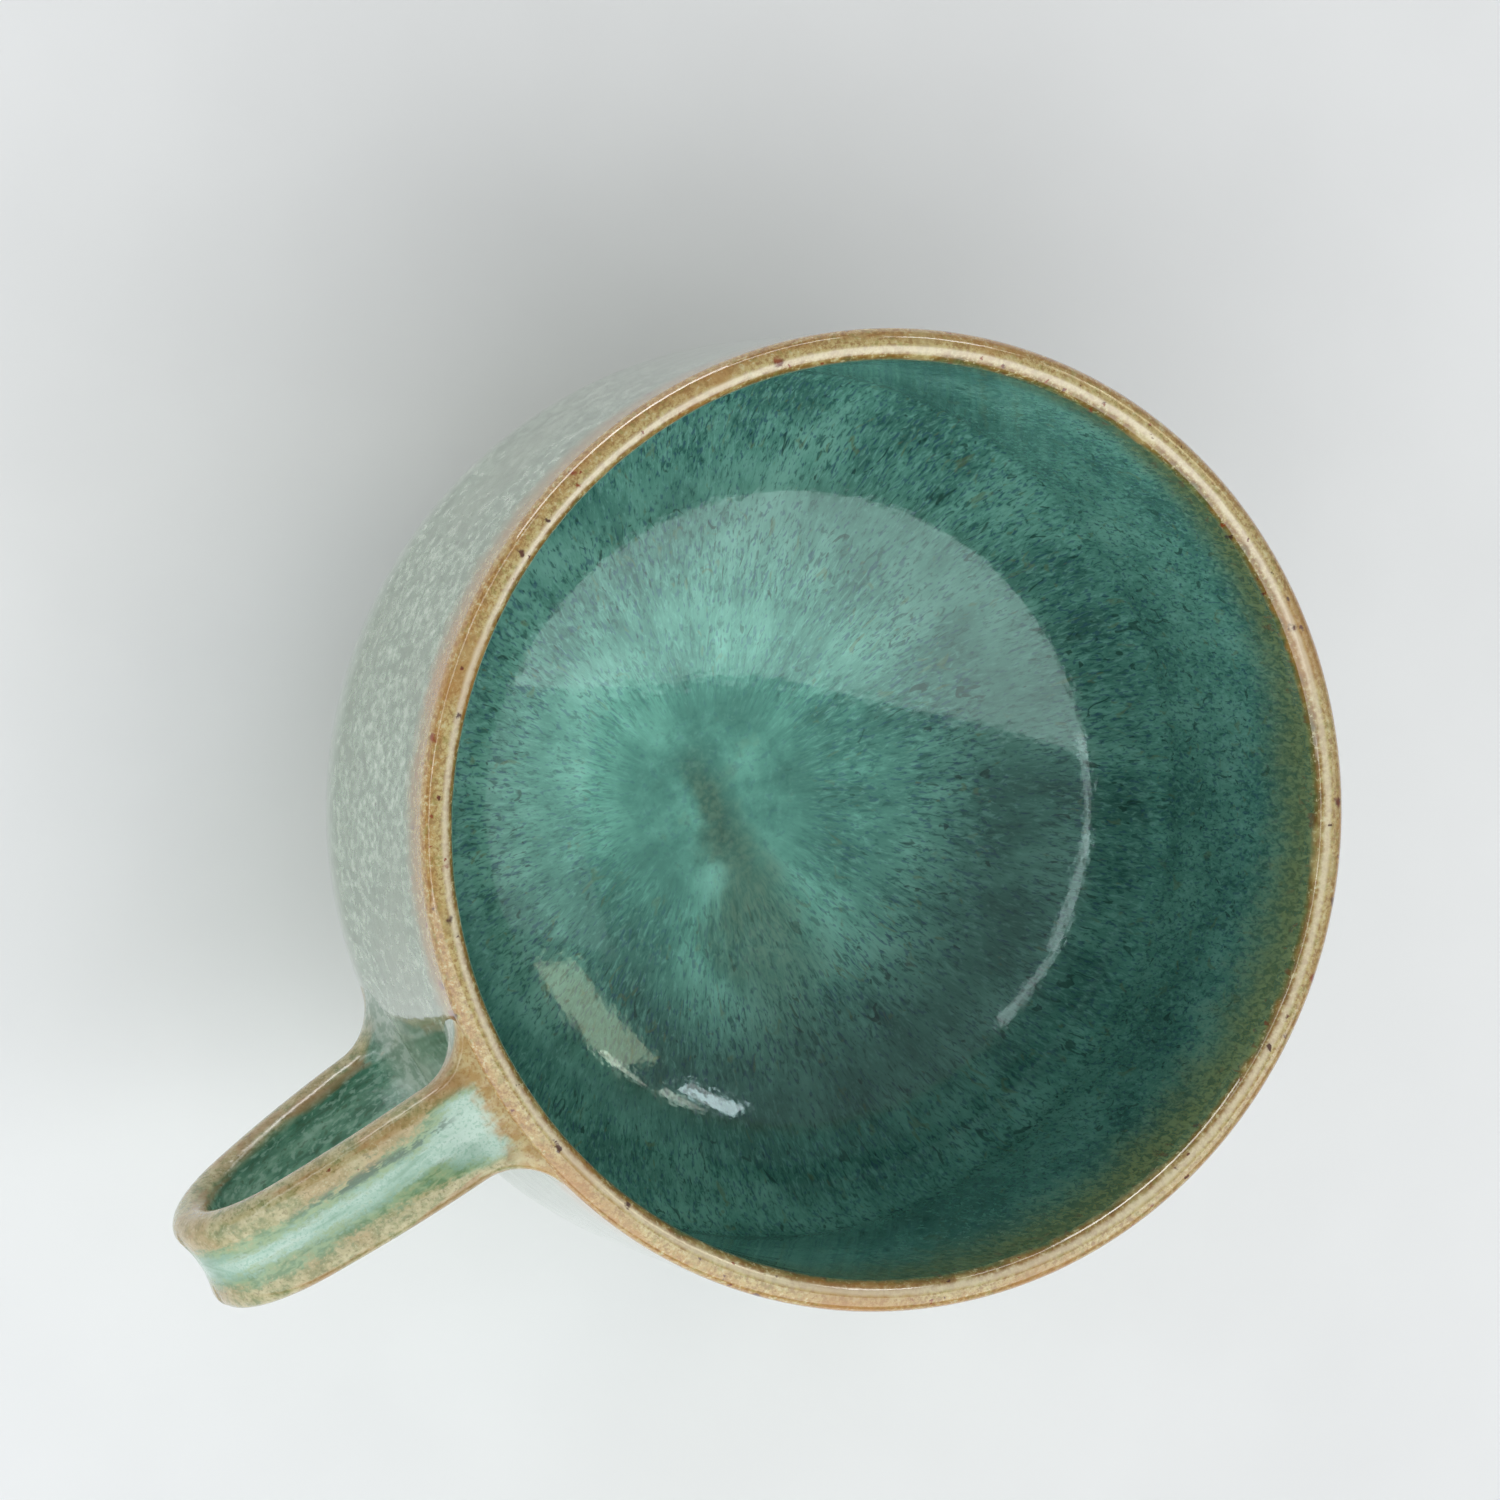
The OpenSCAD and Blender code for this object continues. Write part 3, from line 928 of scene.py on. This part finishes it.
def floor_look():
    m = Look("floor_look")
    tint = m.noise(m.place, 0.05, 3, 0.5)
    return m.done(m.between(tint, 0.3, 0.7, (238, 238, 239), (243, 243, 244)), 0.55, spec=0.3)


clay = clay_look("bare_clay_look", srgb(206, 178, 140))
slip = clay_look("slip_look", srgb(216, 200, 170))
for node, look in (("upper_coil", clay), ("lower_coil", clay), ("upper_slip", slip), ("lower_slip", slip)):
    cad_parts[node].data.materials.clear()
    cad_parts[node].data.materials.append(look)

for piece, look, node, slot in (
    (cup_clay, clay, "body", "clay"),
    (strap_clay, clay, "handle", "clay"),
    (outer_coat, cup_look("outer_glaze_look", ("out",)), "outer_glaze", "outer_glaze"),
    (rim_coat, cup_look("rim_glaze_look", ("in", "out")), "rim_glaze", "rim_glaze"),
    (liner_coat, cup_look("liner_glaze_look", ("in",)), "liner_glaze", "liner_glaze"),
    (handle_coat, handle_look(), "handle_glaze", "handle_glaze"),
):
    piece.data.materials.append(look)
    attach(piece, "root")
    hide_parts(node)

# --- Floor ---
FLOOR_SIZE = 3.0
bpy.ops.mesh.primitive_plane_add(size=FLOOR_SIZE, location=(0, 0, 0))
floor = bpy.context.object
floor.name = "floor"
floor.data.materials.append(floor_look())

# --- Camera ---
cam_data = bpy.data.cameras.new("camera")
cam_data.sensor_width, cam_data.lens = 36, 123.0
cam_data.clip_start, cam_data.clip_end = 0.01, 20
cam = bpy.data.objects.new("camera", cam_data)
bpy.context.scene.collection.objects.link(cam)
cam.location = (0.14463, -0.12839, 0.54649)
cam.rotation_euler = [math.radians(a) for a in (-2.285, -20.026, 146.703)]
bpy.context.scene.camera = cam
bpy.context.scene.view_settings.view_transform = "Standard"

# --- Light: soft panels that the camera doesn't see, at places from the mug's middle ---
CENTRE = Vector((0, 0, TOP * 0.4))
CARD_DISTANCE = 1.2
cam_right, cam_up, cam_back = Euler(cam.rotation_euler).to_matrix().transposed()

world = bpy.data.worlds.new("studio")
bpy.context.scene.world = world
world.use_nodes = True
world.node_tree.nodes["Background"].inputs[0].default_value = (0.93, 0.95, 1.0, 1)
world.node_tree.nodes["Background"].inputs[1].default_value = 0.33


def card(name, place, faces, width, height, radiance, colour, across):
    """A soft panel that shines towards faces, with its width along across."""
    data = bpy.data.lights.new(name, "AREA")
    data.shape = "RECTANGLE"
    data.size, data.size_y, data.color = width, height, colour
    data.energy = radiance * math.pi * width * height
    ob = bpy.data.objects.new(name, data)
    bpy.context.scene.collection.objects.link(ob)
    z = -Vector(faces).normalized()
    x = Vector(across)
    x = (x - z * x.dot(z)).normalized()
    ob.matrix_world = Matrix((x, z.cross(x), z)).transposed().to_4x4()
    ob.matrix_world.translation = CENTRE + Vector(place)
    ob.visible_camera = False


def seen(polar, turn):
    """A place this many degrees off the camera's direction, turned in the picture from right towards up."""
    p, t = math.radians(polar), math.radians(turn)
    aside = cam_right * (math.sin(p) * math.cos(t)) + cam_up * (math.sin(p) * math.sin(t))
    return (aside + cam_back * math.cos(p)) * CARD_DISTANCE


for name, polar, turn, width, height, radiance, tint in (
    ("left_window_1", 46.0, 131, 0.46, 0.14, 2.2, (0.95, 0.99, 1.0)),
    ("left_window_2", 41.8, 158, 0.50, 0.14, 2.2, (0.95, 0.99, 1.0)),
    ("left_window_3", 42.8, 187, 0.50, 0.14, 2.1, (0.95, 0.99, 1.0)),
    ("right_fill", 64, -4, 0.6, 0.55, 0.5, (0.95, 1.0, 1.0)),
    ("top_strip", 74, 92, 0.9, 0.09, 4.3, (1.0, 1.0, 1.0)),
    ("warm_pane", 65, 25, 0.38, 0.22, 2.2, (1.0, 0.93, 0.62)),
    ("warm_sill", 69.5, 35.5, 0.18, 0.05, 5.5, (1.0, 0.95, 0.80)),
    ("cold_sill", 67, 46, 0.16, 0.05, 5.0, (1.0, 0.96, 0.84)),
    ("cold_pane", 62.3, 49, 0.22, 0.08, 7.0, (0.93, 0.95, 1.0)),
):
    place = seen(polar, turn)
    t = math.radians(turn)
    card(name, place, -place, width, height, radiance, tint, -cam_right * math.sin(t) + cam_up * math.cos(t))

# The shelf that the photo's mug lies on shows in the inside's glaze
card("shelf_card", -cam_up * 0.30 + cam_back * 0.55, cam_up, 2.0, 1.0, 1.58, (0.97, 1.0, 0.99), cam_right)
# A low panel beyond the mug lights the side that is turned away from the shelf card
beyond = Vector((-0.20, -1.18, 0.17))
card("left_fill", beyond, -beyond, 0.9, 0.24, 5.0, (1.0, 1.0, 0.98), (1.0, 0.0, 0.0))
